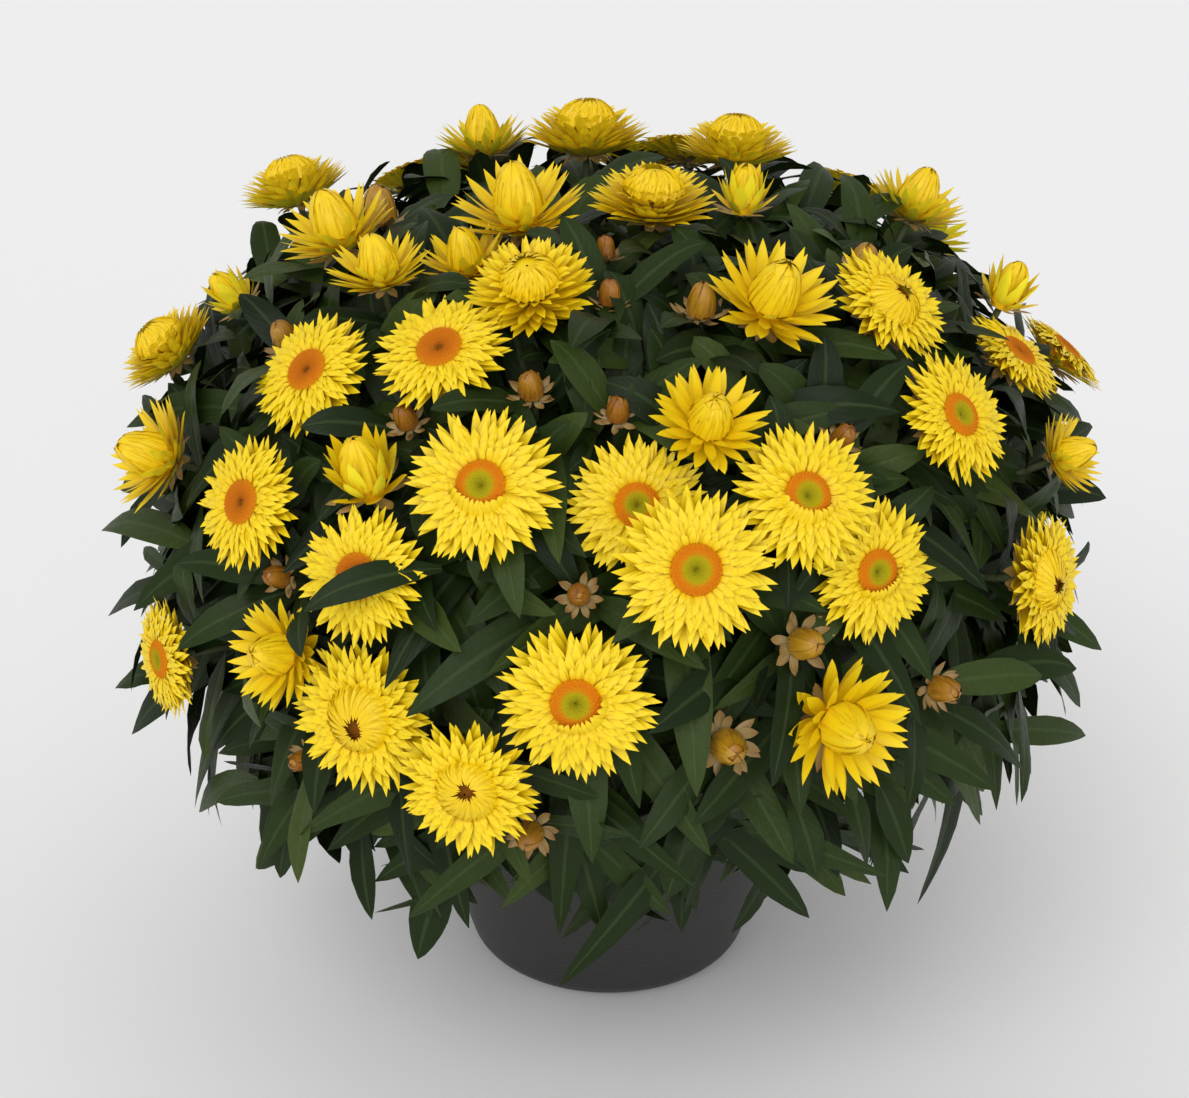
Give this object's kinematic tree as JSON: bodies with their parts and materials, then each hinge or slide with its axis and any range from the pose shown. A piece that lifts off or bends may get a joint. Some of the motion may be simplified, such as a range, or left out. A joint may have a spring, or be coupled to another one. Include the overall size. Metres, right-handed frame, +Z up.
{
  "type": "potted strawflower",
  "caption": "Domed flowering pot plant: leafy branches with papery yellow blooms and brown buds, rooted in soil in a round plastic pot.",
  "frame": {"origin": "centre of the pot's flat underside, which stands on the floor", "axes": "+Z up along the pot's axis; -Y towards the front, the side that the picture shows; +X to the right as seen from the front"},
  "size_m": [0.5399, 0.563, 0.4822],
  "materials": {
    "pot": "satin",
    "soil": "matte",
    "foliage": "satin",
    "petals": "satin"
  },
  "bodies": {
    "root": {"pot": "pot", "soil": "soil", "branch_1": "foliage", "branch_2": "foliage", "branch_3": "foliage", "branch_4": "foliage", "branch_5": "foliage", "branch_6": "foliage", "branch_7": "foliage", "branch_8": "foliage", "branch_9": "foliage", "bloom_top_1": "petals", "bloom_top_2": "petals", "bloom_top_3": "petals", "bloom_top_4": "petals", "bloom_top_5": "petals", "bloom_top_6": "petals", "bloom_top_7": "petals", "bloom_top_8": "petals", "bloom_top_9": "petals", "bloom_top_10": "petals", "bloom_top_11": "petals", "bloom_top_12": "petals", "bloom_left_1": "petals", "bloom_left_2": "petals", "bloom_left_3": "petals", "bloom_left_4": "petals", "bloom_left_5": "petals", "bloom_left_6": "petals", "bloom_left_7": "petals", "bloom_left_8": "petals", "bloom_left_9": "petals", "bloom_left_10": "petals", "bloom_left_11": "petals", "bloom_front_1": "petals", "bloom_front_2": "petals", "bloom_front_3": "petals", "bloom_front_4": "petals", "bloom_front_5": "petals", "bloom_front_6": "petals", "bloom_front_7": "petals", "bloom_right_1": "petals", "bloom_right_2": "petals", "bloom_right_3": "petals", "bloom_right_4": "petals", "bloom_right_5": "petals", "bloom_right_6": "petals", "bloom_right_7": "petals", "bloom_right_8": "petals", "bloom_right_9": "petals", "bloom_right_10": "petals", "blooms_back_1": "petals", "blooms_back_2": "petals", "blooms_back_3": "petals", "blooms_back_4": "petals", "blooms_back_5": "petals", "blooms_back_6": "petals", "blooms_back_7": "petals", "blooms_back_8": "petals", "bloom_back_9": "petals"}
  },
  "joints": []
}
